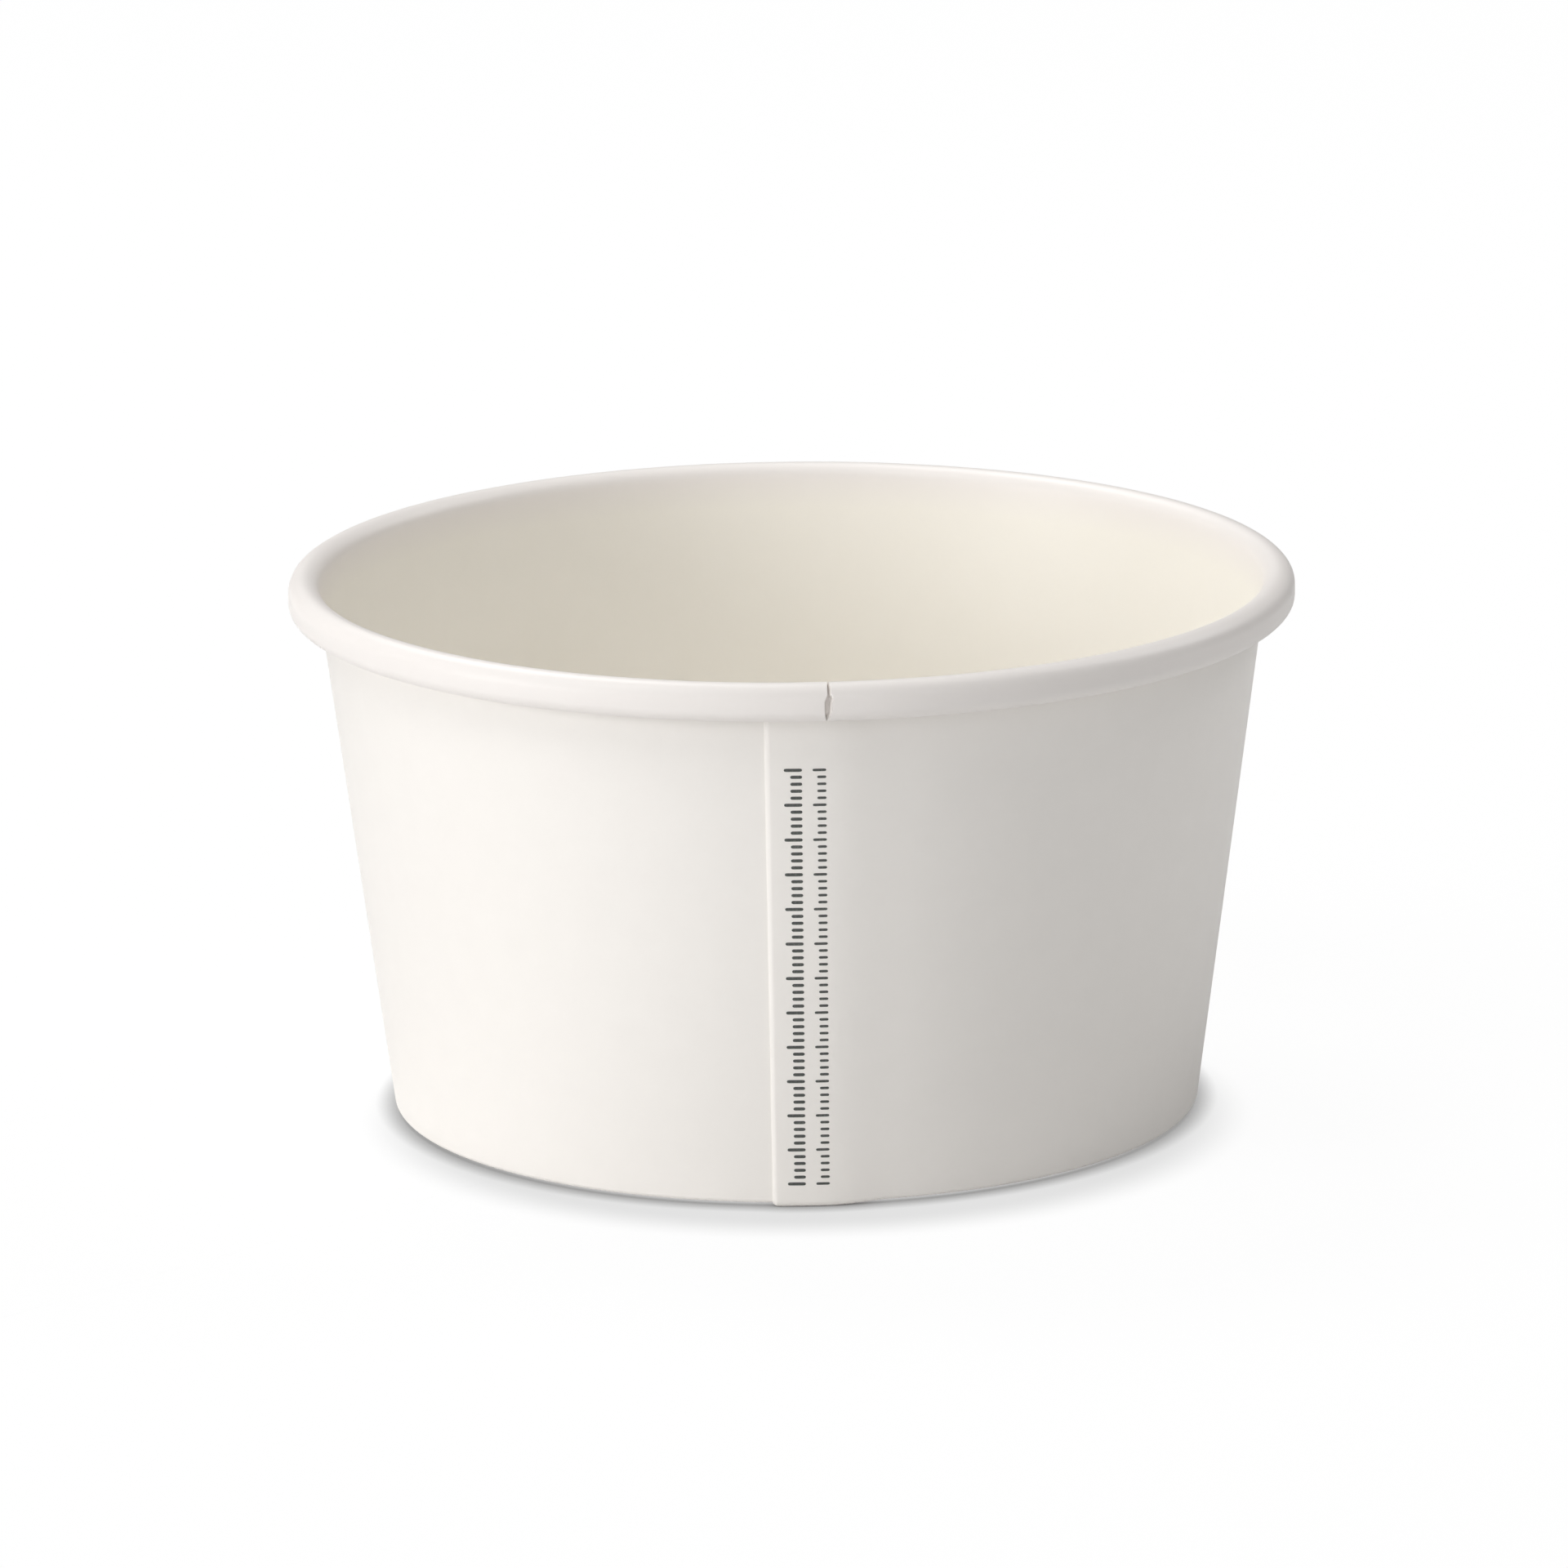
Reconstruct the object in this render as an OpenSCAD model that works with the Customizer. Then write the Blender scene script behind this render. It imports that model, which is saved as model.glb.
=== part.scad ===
// Paper soup container: a side wall rolled from one sheet of board, and a punched base disc.
// The origin is the middle of the foot, on the table. +Z is up and the side seam faces -Y.

/* [Cup] */
// Outer diameter of the rolled rim
rim_d = 115; // [105:1:125]
// Outer diameter of the wall where it would meet the table
foot_d = 92.4; // [84:0.2:98]
// Height from the table to the top of the rim
height = 62.5; // [45:0.5:90]

/* [Board] */
// Thickness of the side wall's board
wall_t = 0.4; // [0.3:0.05:0.5]
// Thickness of the base's board
base_t = 0.4; // [0.3:0.05:0.5]
// Film of melted coating between the wall and the base's flange
seal_t = 0.02; // [0.02:0.01:0.05]

/* [Rim] */
// Width of the roll, across the wall
roll_w = 3.7; // [3.4:0.1:4.5]
// Straight stretch down the outside of the roll, which makes it taller than wide
roll_flat = 1; // [0.2:0.05:1.5]
// How far the sheet's edge tucks up inside the roll, in degrees
roll_tuck = 70; // [20:5:100]
// Space left between the roll and the wall behind it in the lap, where both are two plies thick
roll_gap = 0.05; // [0.03:0.01:0.1]

/* [Foot] */
// Height of the base's underside above the table
base_recess = 7; // [5:0.5:10]
// Inner radius of the bend from the base's disc to its flange
base_bend = 0.8; // [0.4:0.1:1.2]
// How far the turned-in edge of the wall ends below the base's underside
turn_in_gap = 1.4; // [1:0.1:2]
// How far the fold at the foot is pressed flat where it stands
foot_press = 0.05; // [0.02:0.01:0.1]

/* [Seam] */
// Width of the lap, measured round the foot
lap_w = 5.9; // [4:0.1:9]
// Where the lap's outer cut edge stands, in degrees from the front towards +X
lap_edge_at = -3.4; // [-30:0.1:30]
// Length round the foot over which the outer ply eases down past the lap
wall_ease_w = 8; // [4:0.5:12]
// The same in the roll, where the ply is pressed out sooner
roll_ease_w = 0.8; // [0.5:0.1:3]
// Width of the notch that the hidden cut edge leaves in the roll
notch_w = 0.6; // [0.3:0.1:1.2]

/* [Hidden] */

// Sides that a full turn is drawn with, and degrees between the points along a bend
round_sides = 180;
bend_step = 12;
// Steps across the stretch where the outer ply eases down, and how much they crowd towards the cut edge
ease_steps = 8;
ease_crowd = 1.5;
// How much thinner the eased ply is on each face, so that its ends lie inside the full board
hair = 0.02;

// Outer radius of the roll over its top, down its outside, and where it is tucked in
top_r = roll_w / 2;
side_r = (roll_w - 2 * wall_t - roll_gap) / 2;
tuck_r = side_r - wall_t / 2;
// Centres of those three bends, as [distance from the axis, height]
top_at = [rim_d / 2 - top_r, height - top_r];
side_at = top_at + [top_r - side_r, -roll_flat];
tuck_at = side_at + [tuck_r - side_r, 0];

// Slope of the wall, so that it starts at the foot and runs into the top of the roll
foot_to_roll = top_at - [foot_d / 2, 0];
slope = atan2(foot_to_roll.x, foot_to_roll.y) + asin((wall_t - top_r) / norm(foot_to_roll));

// A point at a distance up the wall and at a distance outwards from its inside face
function on_wall(up, out) = [foot_d / 2, 0] + up * [sin(slope), cos(slope)]
    + (out - wall_t) * [cos(slope), -sin(slope)];
// The distance up the wall at which a point that far outwards has a given height
function up_at(z, out) = (z + (out - wall_t) * sin(slope)) / cos(slope);

// The fold at the foot goes round the end of the base's flange, and the lap's outer ply stands on the table
flange_mid = -seal_t - base_t / 2;
fold_r = base_t / 2 + seal_t;
fold_up = up_at(fold_r + 2 * wall_t - foot_press, flange_mid);
fold_at = on_wall(fold_up, flange_mid);
// Degrees from either leg of the fold to its flat, near enough to share out the points along it
fold_span = 60;
turn_in_up = up_at(base_recess - turn_in_gap, 2 * flange_mid);
// Where the wall runs into the roll. The lap's shape starts to change two widths of the roll below it, and
// is that of the roll from one ply below it
roll_up = foot_to_roll * [sin(slope), cos(slope)];
lip_up = roll_up - wall_t;
shoulder_up = roll_up - 2 * roll_w;

// The bend from the base's disc to its flange
flange_in = -seal_t - base_t;
base_bend_up = up_at(base_recess - base_bend, flange_in - base_bend);
base_bend_at = on_wall(base_bend_up, flange_in - base_bend);

// Angles round the cup, from +X: the front is at -90
function turn(width) = width / (PI * foot_d) * 360;
outer_edge = lap_edge_at - 90;
inner_edge = outer_edge + turn(lap_w);
notch_start = inner_edge - turn(notch_w);
ease_end = inner_edge + turn(wall_ease_w);

// Points along a bend from one angle to another, in steps as near to bend_step as a nominal span allows
function bend(at, r, from, to, span) =
    let (steps = ceil(span / bend_step))
    [for (i = [0:steps]) let (a = from + (to - from) * i / steps) at + r * [cos(a), sin(a)]];
function but_first(list) = [for (i = [1:len(list) - 1]) list[i]];
function backwards(list) = [for (i = [len(list) - 1:-1:0]) list[i]];

// One face of the sheet, from its turned-in edge to its edge inside the roll. Each offset is how far the face
// lies from the inside face of a ply that rests on the mandrel: on the wall, just below the roll, and in it.
// Both edges of the sheet may be drawn in.
function face(wall, lip, roll, drawn_in = 0) =
    let (
        r = fold_r + wall,
        flat = acos(1 - foot_press / r),
        tuck = roll_tuck - drawn_in / tuck_r * 180 / PI
    )
    concat(
        [on_wall(turn_in_up - drawn_in, flange_mid - r)],
        bend(fold_at, r, 180 - slope, 270 - flat, fold_span),
        bend(fold_at, r, 270 + flat, 360 - slope, fold_span),
        [on_wall(shoulder_up, wall), on_wall(lip_up, lip)],
        bend(top_at, top_r - roll, 180 - slope, 0, 180),
        bend(side_at, side_r - roll, 0, -180, 180),
        but_first(bend(tuck_at, tuck_r - roll, 180, 180 - tuck, roll_tuck))
    );

// The two faces of one or two plies as a closed outline, with the thickness on the wall and in the roll
function sheet(wall, lip, roll, thick, drawn_in = 0) = concat(
    face(wall, lip, roll, drawn_in),
    backwards(face(wall + thick.x, lip + thick.x, roll + thick.y, drawn_in))
);

module sector(from, to, outline)
    rotate_extrude(start = from, angle = to - from, $fn = round_sides)
        polygon(outline);

// Share of the board's thickness that is left at a distance past the cut edge
function eased(past, length) = past <= 0 ? 1 : past >= length ? 0 : (1 + cos(180 * past / length)) / 2;

// The outer ply, from the hidden cut edge to where it lies on the mandrel again. It is a hair thinner than the
// board, and both its ends run a little way into the full board.
module eased_ply() {
    past = [
        for (i = [0:ease_steps])
            let (share = i / ease_steps)
            wall_ease_w * pow(share, ease_crowd) + wall_t * (2 * share - 1)
    ];
    outlines = [
        for (d = past)
            let (
                wall = wall_t * eased(d, wall_ease_w) + hair,
                roll = wall_t * eased(d, roll_ease_w) + hair,
                thick = wall_t - 2 * hair
            )
            sheet(wall, roll, roll, [thick, thick], hair)
    ];
    n = len(outlines[0]);
    points = [
        for (i = [0:ease_steps], p = outlines[i])
            let (a = inner_edge + turn(past[i]))
            [p.x * cos(a), p.x * sin(a), p.y]
    ];
    sides = [
        for (i = [0:ease_steps - 1], j = [0:n - 1])
            let (a = i * n + j, b = i * n + (j + 1) % n)
            each [[a, a + n, b], [b, a + n, b + n]]
    ];
    // Each end is a strip of quarters between the sheet's two faces
    ends = [
        for (j = [0:n / 2 - 2])
            let (k = n - 1 - j, last = ease_steps * n)
            each [
                [j, j + 1, k], [j + 1, k - 1, k],
                [last + j, last + k, last + j + 1], [last + j + 1, last + k, last + k - 1]
            ]
    ];
    polyhedron(points, concat(sides, ends));
}

module sidewall() {
    color("white")
        union() {
            sector(ease_end - 360, outer_edge, sheet(0, 0, 0, [wall_t, wall_t]));
            sector(outer_edge, notch_start, sheet(0, 0, 0, 2 * [wall_t, wall_t]));
            sector(notch_start, inner_edge, sheet(0, 0, wall_t, [2 * wall_t, wall_t]));
            eased_ply();
        }
}

module base_disc() {
    color("ivory")
        rotate_extrude($fn = round_sides)
            polygon(concat(
                [[0, base_recess + base_t]],
                bend(base_bend_at, base_bend + base_t, 90, -slope, 90),
                [on_wall(fold_up, -seal_t), on_wall(fold_up, flange_in)],
                bend(base_bend_at, base_bend, -slope, 90, 90),
                [[0, base_recess]]
            ));
}

sidewall();
base_disc();
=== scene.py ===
import math

import bpy
from mathutils import Matrix, Vector, noise


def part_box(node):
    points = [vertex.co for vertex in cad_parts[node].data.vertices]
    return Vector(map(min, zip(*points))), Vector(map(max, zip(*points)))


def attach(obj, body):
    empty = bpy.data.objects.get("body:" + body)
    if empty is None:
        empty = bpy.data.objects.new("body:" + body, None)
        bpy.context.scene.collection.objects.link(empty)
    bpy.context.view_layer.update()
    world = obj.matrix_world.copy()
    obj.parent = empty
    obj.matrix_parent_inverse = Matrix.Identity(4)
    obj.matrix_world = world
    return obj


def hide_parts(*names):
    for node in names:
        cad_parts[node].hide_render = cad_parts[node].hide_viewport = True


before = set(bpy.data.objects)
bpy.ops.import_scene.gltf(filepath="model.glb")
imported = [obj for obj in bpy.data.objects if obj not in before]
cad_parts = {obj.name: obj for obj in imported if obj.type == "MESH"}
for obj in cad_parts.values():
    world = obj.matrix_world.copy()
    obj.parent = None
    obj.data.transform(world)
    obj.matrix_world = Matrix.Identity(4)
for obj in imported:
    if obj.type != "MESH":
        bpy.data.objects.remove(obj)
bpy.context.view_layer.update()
print("frame loaded:", ", ".join(sorted(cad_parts)))

mm = 0.001
white = "#ffffff"
paperIor = 1.5        # of the coatings, the fibre and the ink
sharpFrom = 40        # degrees between two faces from which their edge is drawn sharp


def linearColor(hexText):
    parts = [int(hexText[i:i + 2], 16) / 255 for i in (1, 3, 5)]
    return [c / 12.92 if c <= 0.04045 else ((c + 0.055) / 1.055) ** 2.4 for c in parts] + [1]


def patternScale(sizeMm):
    return 1 / (sizeMm * mm)   # repeats in a metre of object space


def addNode(tree, kind, settings=None, **links):
    # a link's name is the socket's, with _ for a space, or i and the socket's number
    node = tree.nodes.new(kind)
    for name, value in (settings or {}).items():
        setattr(node, name, value)
    for name, value in links.items():
        byNumber = name[0] == "i" and name[1:].isdigit()
        socket = node.inputs[int(name[1:])] if byNumber else node.inputs[name.replace("_", " ")]
        if isinstance(value, bpy.types.NodeSocket):
            tree.links.new(value, socket)
        else:
            socket.default_value = value
    return node


def newMaterial(name):
    material = bpy.data.materials.new(name)
    material.use_nodes = True
    tree = material.node_tree
    tree.nodes.clear()
    return material, tree


def smooth(x):
    x = min(max(x, 0), 1)
    return x * x * (3 - 2 * x)


def between(a, b, share):
    return a + (b - a) * share


def eased(past, length):
    # share of the board's thickness that is left at a distance past the cut edge below it
    return (1 + math.cos(math.pi * min(max(past / length, 0), 1))) / 2


def makeMesh(name, points, faces, materials, slots):
    mesh = bpy.data.meshes.new(name)
    mesh.from_pydata([[c * mm for c in p] for p in points], [], faces)
    for material in materials:
        mesh.materials.append(material)
    mesh.polygons.foreach_set("material_index", slots)
    mesh.validate()
    mesh.shade_smooth()
    mesh.set_sharp_from_angle(angle=math.radians(sharpFrom))
    piece = bpy.data.objects.new(name, mesh)
    bpy.context.scene.collection.objects.link(piece)
    return piece


# Shape in millimetres. The rim's radius and the height come from the frame.

board = {
    "thick": 0.4,          # one ply
    "sealFilm": 0.02,      # melted coating between the wall and the base's flange
    "lapFilm": 0.01,       # the same between the two plies of the lap
}

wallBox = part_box("sidewall")
sideWall = {
    "rimRadius": wallBox[1].x / mm,
    "height": wallBox[1].z / mm,
    "rollWide": 3.7,       # across the wall
    "rollFlat": 1.0,       # straight stretch down the roll's outside
    "rollTuck": 70,        # degrees that the edge tucks up inside
    "rollGap": 0.05,
    "uneven": 0.035,       # how far the roll's surface wanders inwards
    "unevenTurn": 0.12,    # waves in it for each degree round the rim
    "unevenDown": 0.08,    # and for each millimetre down the roll
    "unevenSeed": 5,
    "footRadius": 46.2,    # where the wall would meet the table
    "turnInGap": 1.4,      # from the turned-in edge up to the base's underside
    "press": 0.05,         # how far the fold is pressed flat where it stands
    "lapWide": 5.9,        # measured round the foot
    "lapEdgeAt": -3.4,     # degrees from the front towards +X
    "wallEase": 8.0,       # length over which the outer ply eases down past the lap
    "lipEase": 2.5,        # the same where the wall runs into the roll
    "rollEase": 0.15,      # and in the roll, where the ply is pressed out at once
    # the tear that the hidden cut edge leaves in the roll: millimetres down the roll from the lip,
    # then its left and right edge, from the middle of the gap
    "tear": [(2.0, 0, 0), (3.2, -0.05, 0.05), (4.1, -0.1, 0.15), (4.8, -0.1, 0.1), (5.1, -0.25, 0.4),
             (5.6, -0.45, 0.2), (6.9, -0.4, 0.1), (7.5, -0.3, -0.2), (8.0, -0.25, -0.25)],
    "tearFade": 2.5,       # length over which the ply beside the tear is straight again
    "tearShows": 0.05,     # width from which it shows bare fibre, darkened as painted shade
    "tearUnder": 1.0,      # how far that fibre runs in below the upper ply
    "crushWide": 0.55,     # width of the outer cut edge, which the seam clamp has pressed to a slope
    "crushLeft": 0.3,      # share of the thickness that is left at the very edge
    "hiddenCrushWide": 0.3,
    "hiddenCrushLeft": 0.6,
}

baseDisc = {
    "recess": 7.0,         # height of the base's underside
    "bend": 0.8,           # inner radius of the bend to the flange
    "sag": 0.12,           # how far the middle hangs
    "rings": 26,
    "bendSteps": 12,
    "flangeSteps": 8,
    "columns": 180,
}

topR = sideWall["rollWide"] / 2
sideR = (sideWall["rollWide"] - 2 * board["thick"] - sideWall["rollGap"]) / 2
tuckR = sideR - board["thick"] / 2
topAt = (sideWall["rimRadius"] - topR, sideWall["height"] - topR)
sideAt = (topAt[0] + topR - sideR, topAt[1] - sideWall["rollFlat"])
tuckAt = (sideAt[0] + tuckR - sideR, sideAt[1])
toRoll = (topAt[0] - sideWall["footRadius"], topAt[1])
slope = math.atan2(*toRoll) + math.asin((board["thick"] - topR) / math.hypot(*toRoll))


def onWall(up, out):
    # a point up the wall, at a distance outwards from its inside face
    out -= board["thick"]
    return (sideWall["footRadius"] + up * math.sin(slope) + out * math.cos(slope),
            up * math.cos(slope) - out * math.sin(slope))


def upAt(z, out):
    return (z + (out - board["thick"]) * math.sin(slope)) / math.cos(slope)


def turn(width):
    return math.degrees(width / sideWall["footRadius"])


flangeMid = -board["sealFilm"] - board["thick"] / 2
foldR = board["thick"] / 2 + board["sealFilm"]
foldUp = upAt(foldR + 2 * board["thick"] - sideWall["press"], flangeMid)
foldAt = onWall(foldUp, flangeMid)
turnInUp = upAt(baseDisc["recess"] - sideWall["turnInGap"], 2 * flangeMid)
rollUp = toRoll[0] * math.sin(slope) + toRoll[1] * math.cos(slope)
lipUp = rollUp - board["thick"]
shoulderUp = rollUp - 2 * sideWall["rollWide"]
hiddenEdge = sideWall["lapEdgeAt"] + turn(sideWall["lapWide"])
atRim = sideWall["rimRadius"] / sideWall["footRadius"]   # growth of a width from the foot to the rim
lipReach = sideWall["tear"][0][0]


# The side wall's sheet. A station of its section is (kind, place), and an offset is how far a face lies
# from the inside face of a ply that rests on the mandrel.

sectionSteps = {"turnIn": 6, "fold": 20, "wall": 30, "shoulder": 10, "roll": 22, "tuck": 8}
columnSteps = {
    "plain": 2.0,          # degrees
    "near": 0.4,           # millimetres round the foot, where the ply eases down and near the edges
    "nearEase": 2.0,       # that far past the end of the ease
    "nearEdge": 8.0,
    "close": 0.09,         # the same at the edges themselves
    "closeEdge": 1.2,
    "closeHidden": 1.5,
}


def spread(kind, first, last, steps):
    return [(kind, between(first, last, i / steps)) for i in range(steps + 1)]


def sectionStations():
    atWall = 180 - math.degrees(slope)
    stations = spread("turnIn", turnInUp, foldUp, sectionSteps["turnIn"])[:-1]
    stations += spread("fold", atWall, atWall + 180, sectionSteps["fold"])
    stations += spread("wall", foldUp, shoulderUp, sectionSteps["wall"])[1:]
    stations += spread("wall", shoulderUp, lipUp, sectionSteps["shoulder"])[1:]
    stations += spread("top", atWall, 0, sectionSteps["roll"])
    stations += spread("side", 0, -180, sectionSteps["roll"])
    stations += spread("tuck", 180, 180 - sideWall["rollTuck"], sectionSteps["tuck"])[1:]
    return stations


def place(station, out):
    # distance from the axis, and height, of one face at one station
    kind, at = station
    if kind == "wall":
        return onWall(at, out)
    if kind == "turnIn":
        return onWall(at, flangeMid - foldR - out)
    centre, radius = {
        "fold": (foldAt, foldR + out),
        "top": (topAt, topR - out),
        "side": (sideAt, sideR - out),
        "tuck": (tuckAt, tuckR - out),
    }[kind]
    x = centre[0] + radius * math.cos(math.radians(at))
    z = centre[1] + radius * math.sin(math.radians(at))
    if kind == "fold":
        z = max(z, centre[1] - radius + sideWall["press"])
    return x, z


def tearEdges(down):
    # left and right edge of the tear, that far down the roll
    tear = sideWall["tear"]
    if down <= lipReach:
        return tear[0][1:]
    for above, below in zip(tear, tear[1:]):
        if down <= below[0]:
            share = (down - above[0]) / (below[0] - above[0])
            return [between(a, b, share) for a, b in zip(above[1:], below[1:])]
    return tear[-1][1:]


def columnAngles():
    # once round from the outer cut edge and on to the hidden one, in degrees from the front
    start, end = sideWall["lapEdgeAt"], 360 + hiddenEdge
    angles = []
    a = start
    while a < end:
        angles.append(a)
        fromEdge = min(a - start, end - a)
        fromHidden = abs(a - hiddenEdge)
        if fromEdge < turn(columnSteps["closeEdge"]) or fromHidden < turn(columnSteps["closeHidden"]):
            a += turn(columnSteps["close"])
        elif (fromEdge < turn(columnSteps["nearEdge"])
              or fromHidden < turn(sideWall["wallEase"] + columnSteps["nearEase"])):
            a += turn(columnSteps["near"])
        else:
            a += columnSteps["plain"]
    return angles + [end]


def plyLift(station, down, past):
    # how far the outer ply is raised off the mandrel, at a distance past the hidden cut edge
    if down is not None:
        ease = between(sideWall["lipEase"], sideWall["rollEase"], smooth(down / lipReach))
        return board["thick"] * eased(past * atRim - tearEdges(down)[1], ease)
    ease = sideWall["wallEase"]
    if station[0] == "wall" and station[1] > shoulderUp:
        share = smooth((station[1] - shoulderUp) / (lipUp - shoulderUp))
        ease = between(ease, sideWall["lipEase"] / atRim, share)
    return board["thick"] * eased(past, ease)


def buildSheet(materials):
    lining, printed, cut, torn = 1, 0, 2, 3         # slots of the materials; the torn slot is bare fibre darkened as painted shade
    stations = sectionStations()
    sizes = [place(s, 0) for s in stations]
    along = [0.0]                                   # millimetres along the section
    for a, b in zip(sizes, sizes[1:]):
        along.append(along[-1] + math.dist(a, b))
    inRoll = [s[0] in ("top", "side", "tuck") for s in stations]
    rollFrom = along[inRoll.index(True)]
    down = [s - rollFrom if rolled else None for s, rolled in zip(along, inRoll)]
    angles = columnAngles()
    n = len(stations)
    row = 2 * n

    points, tornAndShadeRows = [], []
    for a in angles:
        past = (a - hiddenEdge) / turn(1)           # millimetres past the hidden cut edge
        fromStart = (a - angles[0]) / turn(1)
        fromEnd = (angles[-1] - a) / turn(1)
        outerLeft = math.sqrt(smooth(fromStart / sideWall["crushWide"]))
        outerLeft = between(sideWall["crushLeft"], 1, outerLeft)
        innerLeft = between(sideWall["hiddenCrushLeft"], 1, smooth(fromEnd / sideWall["hiddenCrushWide"]))
        tornAndShadeRows.append([])
        for outer in (False, True):
            for j, station in enumerate(stations):
                out = plyLift(station, down[j], past)
                thick = board["thick"] - board["lapFilm"]
                shift = 0
                if inRoll[j]:
                    spot = (a * sideWall["unevenTurn"], along[j] * sideWall["unevenDown"])
                    wave = noise.noise(Vector((*spot, sideWall["unevenSeed"])))
                    out += sideWall["uneven"] * (1 + wave) / 2 + (thick if outer else 0)
                    left = tearEdges(down[j])[0]
                    shift = turn(left / atRim) * smooth(1 - fromEnd / sideWall["tearFade"])
                else:
                    out += thick * (outerLeft if outer else 1 - innerLeft)
                x, z = place(station, out)
                t = math.radians(a + shift - 90)
                points.append((x * math.cos(t), x * math.sin(t), z))
        # faces in the tear take the torn fibre, which carries painted shade
        for j in range(n):
            left, right = tearEdges(down[j]) if inRoll[j] else (0, 0)
            wide = right - left > sideWall["tearShows"]
            within = -sideWall["tearUnder"] < past * atRim < right + sideWall["rollEase"]
            tornAndShadeRows[-1].append(wide and within)

    faces, slots = [], []
    for i in range(len(angles) - 1):
        for j in range(n - 1):
            p, q = i * row + j, (i + 1) * row + j
            faces.append((p, p + 1, q + 1, q))
            slots.append(torn if tornAndShadeRows[i][j] else lining)
            faces.append((p + n, q + n, q + n + 1, p + n + 1))
            slots.append(printed)
        p, q = i * row, (i + 1) * row
        faces.append((p, q, q + n, p + n))
        p, q = p + n - 1, q + n - 1
        faces.append((p, p + n, q + n, q))
        slots += [cut, cut]
    last = (len(angles) - 1) * row
    for j in range(n - 1):
        faces.append((j, j + n, j + n + 1, j + 1))
        faces.append((last + j, last + j + 1, last + j + n + 1, last + j + n))
        slots += [cut, torn if inRoll[j] else cut]
    return makeMesh("side_wall_sheet", points, faces, materials, slots)


# The base, punched from board and drawn to a flange

def baseLine(upper):
    # one face, from the middle out, round the bend and down the flange
    flangeIn = -board["sealFilm"] - board["thick"]
    bendUp = upAt(baseDisc["recess"] - baseDisc["bend"], flangeIn - baseDisc["bend"])
    bendAt = onWall(bendUp, flangeIn - baseDisc["bend"])
    rise = board["thick"] if upper else 0
    line = []
    for i in range(baseDisc["rings"]):
        share = i / baseDisc["rings"]
        line.append((bendAt[0] * share, baseDisc["recess"] + rise - baseDisc["sag"] * (1 - share ** 2)))
    for i in range(baseDisc["bendSteps"] + 1):
        a = between(math.pi / 2, -slope, i / baseDisc["bendSteps"])
        radius = baseDisc["bend"] + rise
        line.append((bendAt[0] + radius * math.cos(a), bendAt[1] + radius * math.sin(a)))
    for i in range(1, baseDisc["flangeSteps"] + 1):
        line.append(onWall(between(bendUp, foldUp, i / baseDisc["flangeSteps"]), flangeIn + rise))
    return line


def buildBase(materials):
    lining, plain, cut = 0, 1, 2                    # slots of the materials
    upper, lower = baseLine(True), baseLine(False)
    outline = upper[1:] + lower[:0:-1]
    points = [(0, 0, upper[0][1]), (0, 0, lower[0][1])]
    columns, ring = baseDisc["columns"], len(outline)
    for i in range(columns):
        t = 2 * math.pi * i / columns
        points += [(x * math.cos(t), x * math.sin(t), z) for x, z in outline]
    faces, slots = [], []
    cutAt = len(upper) - 2
    for i in range(columns):
        p, q = 2 + i * ring, 2 + (i + 1) % columns * ring
        faces.append((0, p, q))
        slots.append(lining)
        for j in range(ring - 1):
            faces.append((p + j, p + j + 1, q + j + 1, q + j))
            slots.append(lining if j < cutAt else cut if j == cutAt else plain)
        faces.append((1, q + ring - 1, p + ring - 1))
        slots.append(plain)
    return makeMesh("base_disc_board", points, faces, materials, slots)


# Two plain scales printed beside the lap's edge

printScale = {
    "from": 2.9, "to": 52.1,            # heights of the rows' ends
    "baseline": [0.95, 3.6],            # millimetres round the wall from the front
    "short": [1.3, 1.0],
    "long": [2.0, 1.5],
    "longEach": 5,                      # one mark in that many is long
    "stroke": [0.34, 0.27],
    "endStroke": 0.03,                  # width at the very ends of a mark, which are rounded
    "pitch": 0.82,
    "ink": 0.02,                        # thickness that stands proud
    "sunk": 0.05,                       # and how far the marks run into the board
    "steps": 8,
}


def outerSurface(aroundMm, up, proud):
    # a point on the wall's printed face, by millimetres round it at that height
    a = math.degrees(aroundMm / onWall(up, board["thick"])[0])
    lift = board["thick"] * eased((a - hiddenEdge) / turn(1), sideWall["wallEase"])
    x, z = onWall(up, lift + board["thick"] - board["lapFilm"] + proud)
    t = math.radians(a - 90)
    return x * math.cos(t), x * math.sin(t), z


def addMark(points, faces, end, up, length, half):
    # one mark from its end on the baseline to the left, as a thin bar with round ends
    steps, first = printScale["steps"], len(points)
    low, high = -printScale["sunk"], printScale["ink"]
    corners = [(-1, low), (-1, high), (1, high), (1, low)]
    for i in range(steps + 1):
        s = length * (1 - math.cos(math.pi * i / steps)) / 2
        short = max(half - min(s, length - s), 0)
        h = math.sqrt(half ** 2 - short ** 2) + printScale["endStroke"] / 2
        points += [outerSurface(end - s, up + side * h, proud) for side, proud in corners]
    for p in range(first, first + steps * 4, 4):
        faces += [(p + j, p + 4 + j, p + 4 + (j + 1) % 4, p + (j + 1) % 4) for j in range(4)]
    last = first + steps * 4
    faces.append((first, first + 1, first + 2, first + 3))
    faces.append((last + 3, last + 2, last + 1, last))


def buildPrint(materials):
    points, faces = [], []
    count = int((printScale["to"] - printScale["from"]) / printScale["pitch"]) + 1
    for row, end in enumerate(printScale["baseline"]):
        for k in range(count):
            length = printScale["long" if k % printScale["longEach"] == 0 else "short"][row]
            up = upAt(printScale["from"] + k * printScale["pitch"], board["thick"])
            addMark(points, faces, end, up, length, printScale["stroke"][row] / 2)
    return makeMesh("printed_scale", points, faces, materials, [0] * len(faces))


# Materials. Board fibres are about 0.03 mm wide, and are drawn coarser so that they show.

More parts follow.
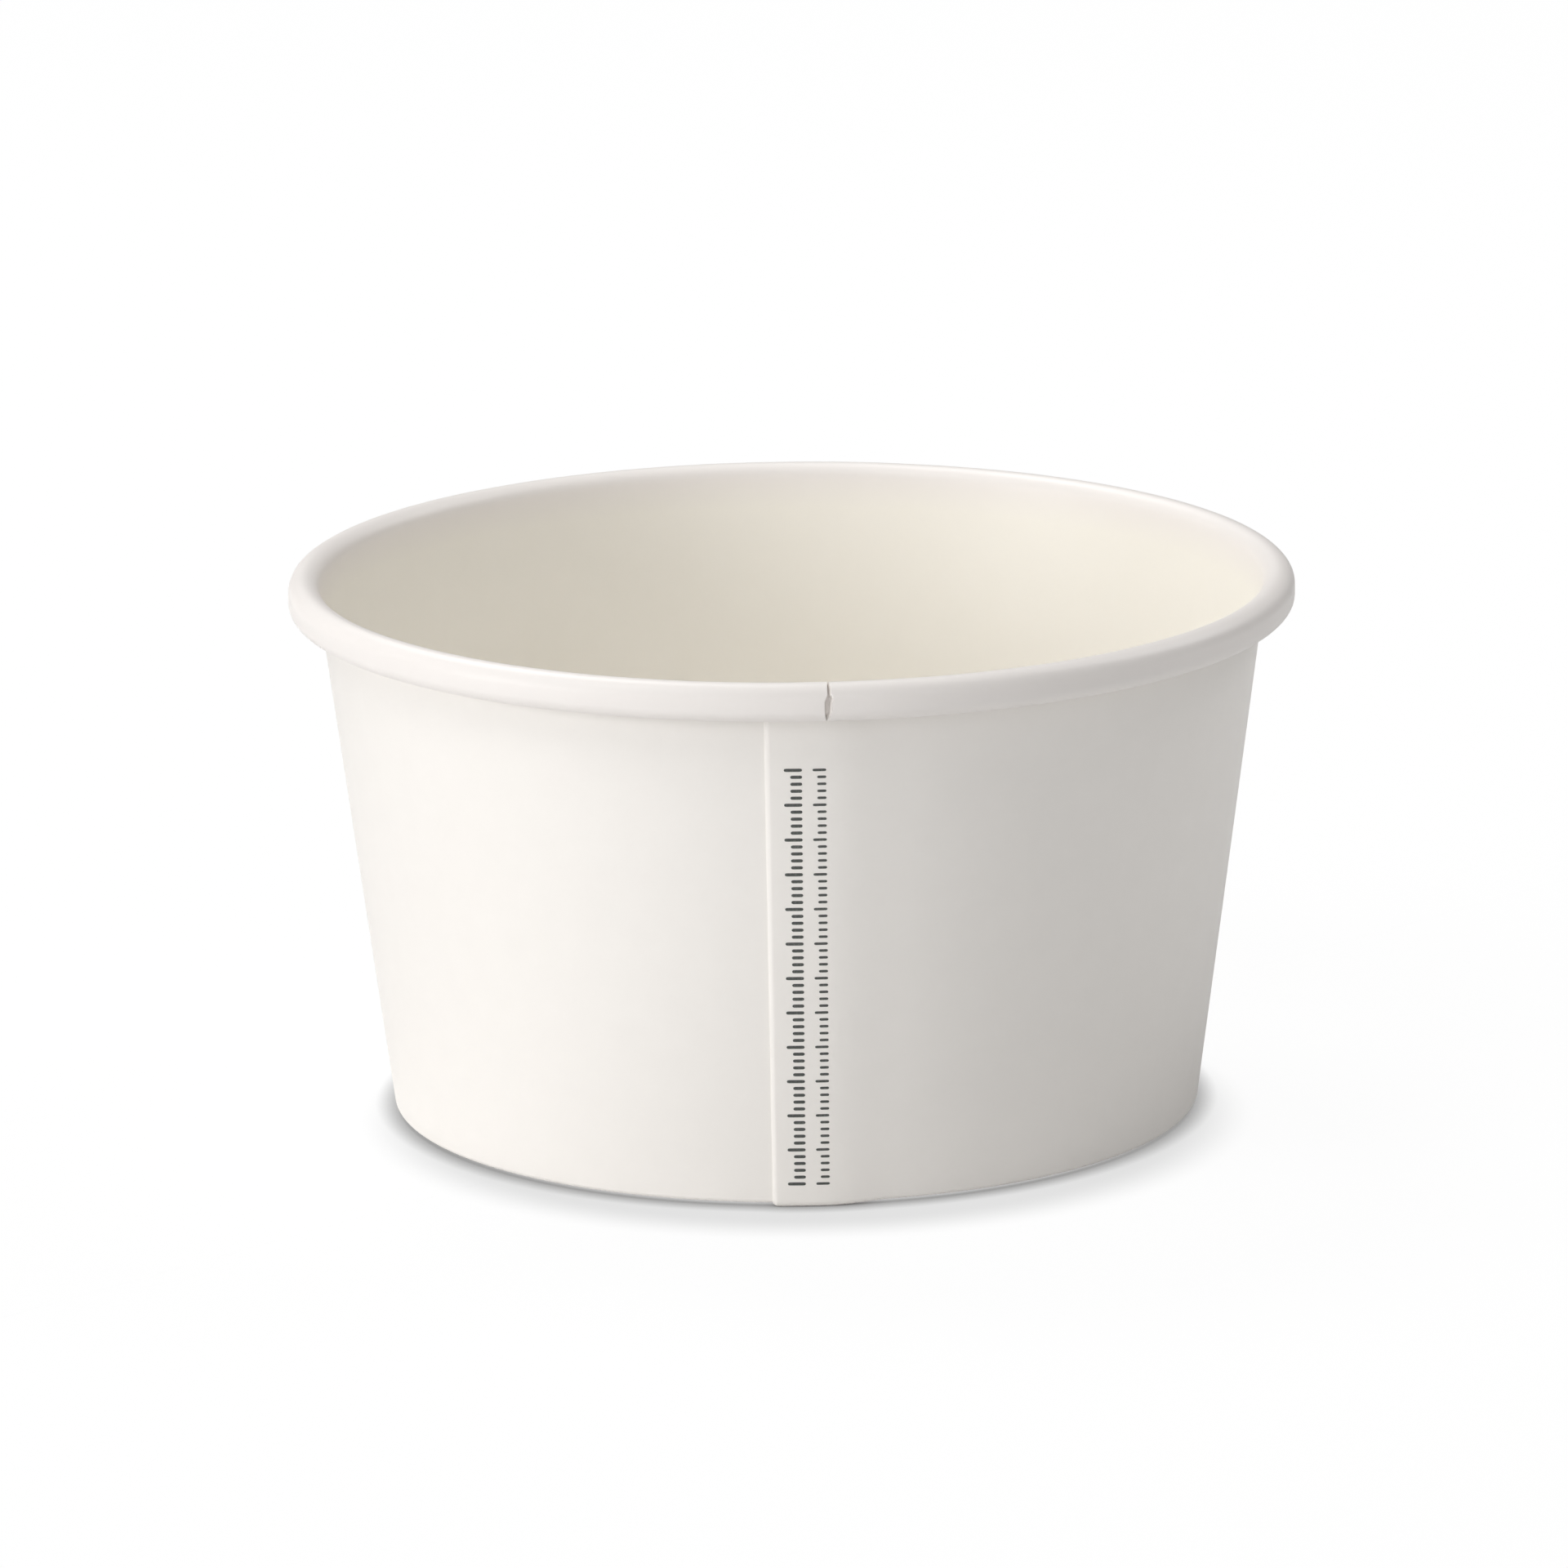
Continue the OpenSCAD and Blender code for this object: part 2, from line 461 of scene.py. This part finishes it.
def clayCoatedBoard():
    # Clay-coated paperboard, calendered: a warm white with a soft satin, and a faint cloudiness of fibre
    look = {"paler": "#f6f2ed", "deeper": "#f3efea", "cloudMm": 4.0, "fibreMm": 0.25,
            "smoothest": 0.45, "roughest": 0.55, "bump": 0.25, "bumpMm": 0.02}
    material, tree = newMaterial("clay_coated_board")
    where = addNode(tree, "ShaderNodeTexCoord").outputs["Object"]
    clouds = addNode(tree, "ShaderNodeTexNoise", Vector=where, Scale=patternScale(look["cloudMm"]),
                     Detail=4.0, Roughness=0.6).outputs["Fac"]
    tint = addNode(tree, "ShaderNodeMix", {"data_type": "RGBA"}, i0=clouds,
                   i6=linearColor(look["paler"]), i7=linearColor(look["deeper"]))
    fibres = addNode(tree, "ShaderNodeTexNoise", Vector=where, Scale=patternScale(look["fibreMm"]),
                     Detail=3.0, Roughness=0.55)
    rough = addNode(tree, "ShaderNodeMapRange", Value=clouds, To_Min=look["smoothest"],
                    To_Max=look["roughest"])
    bump = addNode(tree, "ShaderNodeBump", Height=fibres.outputs["Fac"], Strength=look["bump"],
                   Distance=look["bumpMm"] * mm)
    shader = addNode(tree, "ShaderNodeBsdfPrincipled", Base_Color=tint.outputs[2], IOR=paperIor,
                     Roughness=rough.outputs["Result"], Normal=bump.outputs["Normal"])
    addNode(tree, "ShaderNodeOutputMaterial", Surface=shader.outputs["BSDF"])
    return material


def creamLining():
    # Board lined with an extruded film: cream and a little smoother, and less yellow on the roll, which
    # the code finds by height and by distance from the axis
    look = {"lining": "#f6f2ea", "liningDeeper": "#f4f0e7", "roll": "#f0ebe7", "cloudMm": 5.0,
            "fibreMm": 0.3, "smoothest": 0.4, "roughest": 0.5, "bump": 0.2, "bumpMm": 0.02,
            "whiterFrom": 57.5, "whiterTo": 61.0,      # heights in millimetres
            "rollFrom": 53.8, "rollTo": 54.6}          # distances from the axis
    material, tree = newMaterial("cream_lined_board")
    where = addNode(tree, "ShaderNodeTexCoord").outputs["Object"]
    clouds = addNode(tree, "ShaderNodeTexNoise", Vector=where, Scale=patternScale(look["cloudMm"]),
                     Detail=4.0, Roughness=0.6).outputs["Fac"]
    tint = addNode(tree, "ShaderNodeMix", {"data_type": "RGBA"}, i0=clouds,
                   i6=linearColor(look["lining"]), i7=linearColor(look["liningDeeper"]))
    height = addNode(tree, "ShaderNodeSeparateXYZ", Vector=where).outputs["Z"]
    byHeight = addNode(tree, "ShaderNodeMapRange", Value=height, From_Min=look["whiterFrom"] * mm,
                       From_Max=look["whiterTo"] * mm)
    level = addNode(tree, "ShaderNodeVectorMath", {"operation": "MULTIPLY"}, i0=where, i1=(1, 1, 0))
    across = addNode(tree, "ShaderNodeVectorMath", {"operation": "LENGTH"}, i0=level.outputs["Vector"])
    byReach = addNode(tree, "ShaderNodeMapRange", Value=across.outputs["Value"],
                      From_Min=look["rollFrom"] * mm, From_Max=look["rollTo"] * mm)
    inRoll = addNode(tree, "ShaderNodeMath", {"operation": "MAXIMUM"}, i0=byHeight.outputs["Result"],
                     i1=byReach.outputs["Result"])
    whole = addNode(tree, "ShaderNodeMix", {"data_type": "RGBA"}, i0=inRoll.outputs["Value"],
                    i6=tint.outputs[2], i7=linearColor(look["roll"]))
    fibres = addNode(tree, "ShaderNodeTexNoise", Vector=where, Scale=patternScale(look["fibreMm"]),
                     Detail=3.0, Roughness=0.5)
    rough = addNode(tree, "ShaderNodeMapRange", Value=clouds, To_Min=look["smoothest"],
                    To_Max=look["roughest"])
    bump = addNode(tree, "ShaderNodeBump", Height=fibres.outputs["Fac"], Strength=look["bump"],
                   Distance=look["bumpMm"] * mm)
    shader = addNode(tree, "ShaderNodeBsdfPrincipled", Base_Color=whole.outputs[2], IOR=paperIor,
                     Roughness=rough.outputs["Result"], Normal=bump.outputs["Normal"])
    addNode(tree, "ShaderNodeOutputMaterial", Surface=shader.outputs["BSDF"])
    return material


def bareFibre(name, look):
    # fibre without its coating, matt and hairy, from a pale to a deeper tone
    material, tree = newMaterial(name)
    where = addNode(tree, "ShaderNodeTexCoord").outputs["Object"]
    fibres = addNode(tree, "ShaderNodeTexNoise", Vector=where, Scale=patternScale(look["fibreMm"]),
                     Detail=3.0).outputs["Fac"]
    tint = addNode(tree, "ShaderNodeMix", {"data_type": "RGBA"}, i0=fibres,
                   i6=linearColor(look["fibre"]), i7=linearColor(look["shade"]))
    bump = addNode(tree, "ShaderNodeBump", Height=fibres, Strength=look["bump"],
                   Distance=look["bumpMm"] * mm)
    shader = addNode(tree, "ShaderNodeBsdfPrincipled", Base_Color=tint.outputs[2], IOR=paperIor,
                     Roughness=look["roughness"], Normal=bump.outputs["Normal"])
    addNode(tree, "ShaderNodeOutputMaterial", Surface=shader.outputs["BSDF"])
    return material


def cutBoardEdge():
    # Board cut by a die: white, dry and matt, so the seam's edge catches the light
    return bareFibre("die_cut_board_edge", {"fibre": "#f7f6f3", "shade": "#efede8", "fibreMm": 0.15,
                                            "roughness": 0.85, "bump": 0.5, "bumpMm": 0.04})


def tornBoardAndShade():
    # Board torn across in the roll: bare grey-white core fibre, made darker still as painted shade for
    # the groove, so the tear looks dark beside the film
    return bareFibre("torn_board_core_painted_shade", {"fibre": "#e8e2dd", "shade": "#dcd6d1", "fibreMm": 0.3,
                                         "roughness": 0.9, "bump": 0.5, "bumpMm": 0.05})


def offsetInk():
    # Dark grey offset ink on the clay coating: thin, so the board's fibre breaks it up a little
    look = {"ink": "#4a4d4a", "worn": "#6a6c68", "grainMm": 0.2, "wornFrom": 0.5, "wornTo": 0.8,
            "roughness": 0.55}
    material, tree = newMaterial("offset_ink")
    where = addNode(tree, "ShaderNodeTexCoord").outputs["Object"]
    grain = addNode(tree, "ShaderNodeTexNoise", Vector=where, Scale=patternScale(look["grainMm"]),
                    Detail=2.0)
    thin = addNode(tree, "ShaderNodeMapRange", Value=grain.outputs["Fac"], From_Min=look["wornFrom"],
                   From_Max=look["wornTo"])
    tint = addNode(tree, "ShaderNodeMix", {"data_type": "RGBA"}, i0=thin.outputs["Result"],
                   i6=linearColor(look["ink"]), i7=linearColor(look["worn"]))
    shader = addNode(tree, "ShaderNodeBsdfPrincipled", Base_Color=tint.outputs[2], IOR=paperIor,
                     Roughness=look["roughness"])
    addNode(tree, "ShaderNodeOutputMaterial", Surface=shader.outputs["BSDF"])
    return material


printedBoard = clayCoatedBoard()
linedBoard = creamLining()
cutEdge = cutBoardEdge()
tornCoreAndShade = tornBoardAndShade()
print("materials made")

sheet = buildSheet([printedBoard, linedBoard, cutEdge, tornCoreAndShade])
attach(sheet, "root")
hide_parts("sidewall")
print("side wall made:", len(sheet.data.polygons), "faces")

base = buildBase([linedBoard, printedBoard, cutEdge])
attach(base, "root")
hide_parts("base_disc")
print("base made:", len(base.data.polygons), "faces")

scale = buildPrint([offsetInk()])
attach(scale, "root")
print("print made:", len(scale.data.polygons), "faces")


# Camera, fitted to the outlines in the photograph

view = {
    "above": 15.6261,       # degrees above the horizontal, from the front
    "distance": 1365.2,     # millimetres from the middle of the foot
    "pan": -0.0458,         # degrees off the middle of the foot, and round the line of sight
    "tilt": 1.5086,
    "roll": -0.5628,
    "lens": 271.29,
    "sensor": 36,
    "clip": (0.05, 20),     # metres
}


def turned(first, second, degrees):
    # two square directions, turned in their plane from the first towards the second
    t = math.radians(degrees)
    return first * math.cos(t) + second * math.sin(t), second * math.cos(t) - first * math.sin(t)


def placeCamera():
    data = bpy.data.cameras.new("camera")
    data.sensor_width = view["sensor"]
    data.lens = view["lens"]
    data.clip_start, data.clip_end = view["clip"]
    camera = bpy.data.objects.new("camera", data)
    bpy.context.scene.collection.objects.link(camera)
    at = direction(0, view["above"]) * view["distance"] * mm
    forward = -at.normalized()
    right = forward.cross(Vector((0, 0, 1))).normalized()
    up = right.cross(forward)
    forward, right = turned(forward, right, view["pan"])
    forward, up = turned(forward, up, view["tilt"])
    right, up = turned(right, up, view["roll"])
    matrix = Matrix((right, up, -forward)).transposed().to_4x4()
    matrix.translation = at
    camera.matrix_world = matrix
    bpy.context.scene.camera = camera


# Studio: a pale floor with a painted shadow round the foot, a white surround for the camera, a window in
# front and soft lamps

studio = {
    "ambient": 0.1,              # strength of the soft surround, the same from all sides
    "window": 0.76,              # what the window at the front adds straight ahead
    "windowUp": 10,              # degrees
    "windowFade": 2.0,           # power by which it fades out towards the sides
    "floorReach": 6.0,           # metres
    "floorTone": "#e7e7e7",      # what the object sees
    "floorShown": 0.05,          # share of the floor's own shading that the camera sees
    "paintedContactReach": 2.5,         # millimetres over which the painted dark contact line under the foot fades out
    # tone of the painted contact shade
    "paintedContactTone": "#5f5d5b",
    "contactSamples": 8,
    "paintedShadowReach": 9,            # millimetres over which the painted soft shadow round the foot fades out
    "paintedShadowInside": 3.2,         # how far inside the foot's radius it starts to fade
    "paintedShadowDepth": 0.24,         # share of the light that the painted shadow takes at its darkest
    "paintedShadowForward": 8,          # millimetres by which the painted shadow is shifted forward, where high lamps behind would throw it
    "paintedShadowRight": 1.0,          # and shifted to the right, where the low lamp at the left would throw it
    "underInside": 2.0,          # millimetres from the foot to the glow under the base
    "underStrength": 0.7,
    "lamps": [
        # name, degrees round from the front, degrees up, watts
        ("low_left", -65, 12, 6.4),
        ("high_left", -50, 55, 4.3),
        ("back_left", -150, 55, 7.3),
        ("back_right", 120, 40, 3.9),
    ],
    "lampAway": 1.3,             # metres
    "lampWide": 0.6,
    "lampAim": 0.03,             # height of the point that they face
}


def direction(around, up):
    a, e = math.radians(around), math.radians(up)
    return Vector((math.sin(a) * math.cos(e), -math.cos(a) * math.cos(e), math.sin(e)))


def whitePaper():
    # White paper sweep: the camera sees it as white, with a painted soft shadow round the foot and a
    # painted dark contact line, over a small share of its own shading
    material, tree = newMaterial("floor_paper")
    footRadius = sideWall["footRadius"]
    rays = addNode(tree, "ShaderNodeLightPath")
    plain = addNode(tree, "ShaderNodeBsdfDiffuse", Color=linearColor(studio["floorTone"]))
    bright = addNode(tree, "ShaderNodeBsdfDiffuse", Color=linearColor(white))
    # painted contact shade: the glow that the camera sees darkens by occlusion near the foot
    contact = addNode(tree, "ShaderNodeAmbientOcclusion", {"samples": studio["contactSamples"]},
                      Distance=studio["paintedContactReach"] * mm)
    line = addNode(tree, "ShaderNodeMix", {"data_type": "RGBA"}, i0=contact.outputs["AO"],
                   i6=linearColor(studio["paintedContactTone"]), i7=linearColor(white))
    # painted shadow: a soft ring fade round the foot, shifted forward and to the right, dims the glow
    # that the camera sees
    where = addNode(tree, "ShaderNodeTexCoord").outputs["Object"]
    shifted = addNode(tree, "ShaderNodeVectorMath", {"operation": "ADD"}, i0=where,
                      i1=(-studio["paintedShadowRight"] * mm, studio["paintedShadowForward"] * mm, 0))
    away = addNode(tree, "ShaderNodeVectorMath", {"operation": "LENGTH"}, i0=shifted.outputs["Vector"])
    nearest = footRadius - studio["paintedShadowInside"]
    fade = addNode(tree, "ShaderNodeMapRange", {"interpolation_type": "SMOOTHSTEP"},
                   Value=away.outputs["Value"], From_Min=nearest * mm,
                   From_Max=(nearest + studio["paintedShadowReach"]) * mm, To_Min=1 - studio["paintedShadowDepth"],
                   To_Max=1)
    glow = addNode(tree, "ShaderNodeEmission", Color=line.outputs[2], Strength=fade.outputs["Result"])
    shown = addNode(tree, "ShaderNodeMixShader", i0=studio["floorShown"], i1=glow.outputs[0],
                    i2=bright.outputs[0])
    # under the base the paper glows for all but the camera, so that the underside can be seen from below
    reach = addNode(tree, "ShaderNodeVectorMath", {"operation": "LENGTH"}, i0=where)
    underBase = addNode(tree, "ShaderNodeMath", {"operation": "LESS_THAN"}, i0=reach.outputs["Value"],
                        i1=(footRadius - studio["underInside"]) * mm)
    underGlow = addNode(tree, "ShaderNodeEmission", Strength=studio["underStrength"])
    lit = addNode(tree, "ShaderNodeMixShader", i0=underBase.outputs["Value"], i1=plain.outputs[0],
                  i2=underGlow.outputs[0])
    whole = addNode(tree, "ShaderNodeMixShader", i0=rays.outputs["Is Camera Ray"], i1=lit.outputs[0],
                    i2=shown.outputs[0])
    under = addNode(tree, "ShaderNodeNewGeometry")
    clear = addNode(tree, "ShaderNodeBsdfTransparent")
    oneSided = addNode(tree, "ShaderNodeMixShader", i0=under.outputs["Backfacing"], i1=whole.outputs[0],
                       i2=clear.outputs[0])
    addNode(tree, "ShaderNodeOutputMaterial", Surface=oneSided.outputs[0])
    return material


def layFloor():
    reach = studio["floorReach"]
    mesh = bpy.data.meshes.new("floor")
    corners = [(-reach, -reach, 0), (reach, -reach, 0), (reach, reach, 0), (-reach, reach, 0)]
    mesh.from_pydata(corners, [], [(0, 1, 2, 3)])
    mesh.materials.append(whitePaper())
    floor = bpy.data.objects.new("floor", mesh)
    bpy.context.scene.collection.objects.link(floor)


def lightSurround():
    world = bpy.data.worlds.new("studio")
    world.use_nodes = True
    bpy.context.scene.world = world
    tree = world.node_tree
    tree.nodes.clear()
    rays = addNode(tree, "ShaderNodeLightPath")
    where = addNode(tree, "ShaderNodeTexCoord").outputs["Generated"]
    ahead = addNode(tree, "ShaderNodeVectorMath", {"operation": "DOT_PRODUCT"}, i0=where,
                    i1=direction(0, studio["windowUp"]))
    front = addNode(tree, "ShaderNodeMath", {"operation": "MAXIMUM"}, i0=ahead.outputs["Value"], i1=0.0)
    fade = addNode(tree, "ShaderNodeMath", {"operation": "POWER"}, i0=front.outputs[0],
                   i1=studio["windowFade"])
    soft = addNode(tree, "ShaderNodeMath", {"operation": "MULTIPLY_ADD"}, i0=fade.outputs[0],
                   i1=studio["window"], i2=studio["ambient"])
    strength = addNode(tree, "ShaderNodeMix", {"data_type": "FLOAT"}, i0=rays.outputs["Is Camera Ray"],
                       i2=soft.outputs[0], i3=1.0)
    air = addNode(tree, "ShaderNodeBackground", Color=linearColor(white), Strength=strength.outputs[0])
    addNode(tree, "ShaderNodeOutputWorld", Surface=air.outputs[0])


def hangLamps():
    for name, around, up, watts in studio["lamps"]:
        data = bpy.data.lights.new(name, "AREA")
        data.shape = "DISK"
        data.size = studio["lampWide"]
        data.energy = watts
        lamp = bpy.data.objects.new(name, data)
        back = direction(around, up)
        lamp.location = back * studio["lampAway"] + Vector((0, 0, studio["lampAim"]))
        lamp.rotation_euler = back.to_track_quat("Z", "Y").to_euler()
        bpy.context.scene.collection.objects.link(lamp)


placeCamera()
print("camera placed")
layFloor()
lightSurround()
hangLamps()
bpy.context.scene.view_settings.view_transform = "Standard"
print("studio lit")
